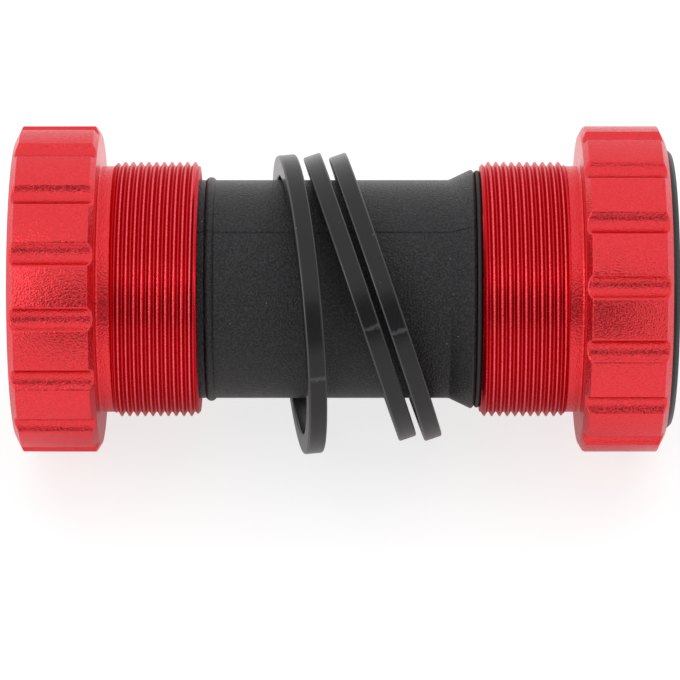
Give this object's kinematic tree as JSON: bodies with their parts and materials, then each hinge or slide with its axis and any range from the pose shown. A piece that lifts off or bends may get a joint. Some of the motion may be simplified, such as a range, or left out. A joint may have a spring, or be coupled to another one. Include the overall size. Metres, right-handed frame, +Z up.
{
  "type": "bottom bracket",
  "caption": "Thread-in bicycle bottom bracket: two flanged cups with sealed ball bearings, a telescoping sleeve between them and loose spacer rings.",
  "frame": {"origin": "on the spindle axis, midway between the inboard faces of the two flanges as the cups lie on the sleeve", "axes": "+X along the spindle axis from the drive-side cup to the non-drive cup, +Z up as the unit lies on a table"},
  "size_m": [0.0892, 0.0446, 0.0446],
  "materials": {
    "anodised_cup": "blasted and anodised red",
    "moulded_sleeve": "fine moulded grain",
    "moulded_cap": "moulded, satin",
    "spacer_plastic": "moulded, half gloss",
    "bearing_steel": "ground",
    "bearing_balls": "polished",
    "cage_nylon": "moulded nylon",
    "seal_rubber": "moulded rubber"
  },
  "bodies": {
    "sleeve": {"inner_sleeve": "moulded_sleeve", "drive_sleeve_oring": "seal_rubber", "nondrive_sleeve_oring": "seal_rubber"},
    "drive_cup": {"drive_cup": "anodised_cup", "drive_outer_race": "bearing_steel", "drive_inboard_seal": "seal_rubber", "drive_outboard_seal": "seal_rubber"},
    "drive_bearing": {"drive_inner_race": "bearing_steel", "drive_dust_cap": "moulded_cap"},
    "drive_ball_set": {"drive_balls": "bearing_balls", "drive_ball_cage": "cage_nylon"},
    "nondrive_cup": {"nondrive_cup": "anodised_cup", "nondrive_outer_race": "bearing_steel", "nondrive_inboard_seal": "seal_rubber", "nondrive_outboard_seal": "seal_rubber"},
    "nondrive_bearing": {"nondrive_inner_race": "bearing_steel", "nondrive_dust_cap": "moulded_cap"},
    "nondrive_ball_set": {"nondrive_balls": "bearing_balls", "nondrive_ball_cage": "cage_nylon"},
    "spacer_1": {"spacer_1": "spacer_plastic"},
    "spacer_2": {"spacer_2": "spacer_plastic"},
    "spacer_3": {"spacer_3": "spacer_plastic"}
  },
  "joints": [
    {"name": "drive_cup_slide", "type": "slide", "parent": "sleeve", "child": "drive_cup", "axis": [-1, 0, 0], "range_m": [-0.0005, 0.0119]},
    {"name": "nondrive_cup_turn", "type": "hinge", "parent": "sleeve", "child": "nondrive_cup", "pos_m": [0.0255, 0, 0], "axis": [1, 0, 0], "continuous": true},
    {"name": "drive_bearing_turn", "type": "hinge", "parent": "drive_cup", "child": "drive_bearing", "pos_m": [-0.03825, 0, 0], "axis": [1, 0, 0], "continuous": true},
    {"name": "drive_balls_turn", "type": "hinge", "parent": "drive_cup", "child": "drive_ball_set", "pos_m": [-0.03825, 0, 0], "axis": [1, 0, 0], "continuous": true},
    {"name": "nondrive_bearing_turn", "type": "hinge", "parent": "nondrive_cup", "child": "nondrive_bearing", "pos_m": [0.03825, 0, 0], "axis": [1, 0, 0], "continuous": true},
    {"name": "nondrive_balls_turn", "type": "hinge", "parent": "nondrive_cup", "child": "nondrive_ball_set", "pos_m": [0.03825, 0, 0], "axis": [1, 0, 0], "continuous": true},
    {"name": "spacer_1_slide", "type": "slide", "parent": "sleeve", "child": "spacer_1", "axis": [1, 0, 0], "range_m": [-0.009, 0]},
    {"name": "spacer_2_slide", "type": "slide", "parent": "sleeve", "child": "spacer_2", "axis": [1, 0, 0], "range_m": [0, 0.0007]},
    {"name": "spacer_3_slide", "type": "slide", "parent": "sleeve", "child": "spacer_3", "axis": [1, 0, 0], "range_m": [0, 0.0045]}
  ],
  "couplings": [
    {"joint": "drive_balls_turn", "follows": "drive_bearing_turn", "ratio": 0.4488},
    {"joint": "nondrive_balls_turn", "follows": "nondrive_bearing_turn", "ratio": 0.4488}
  ]
}
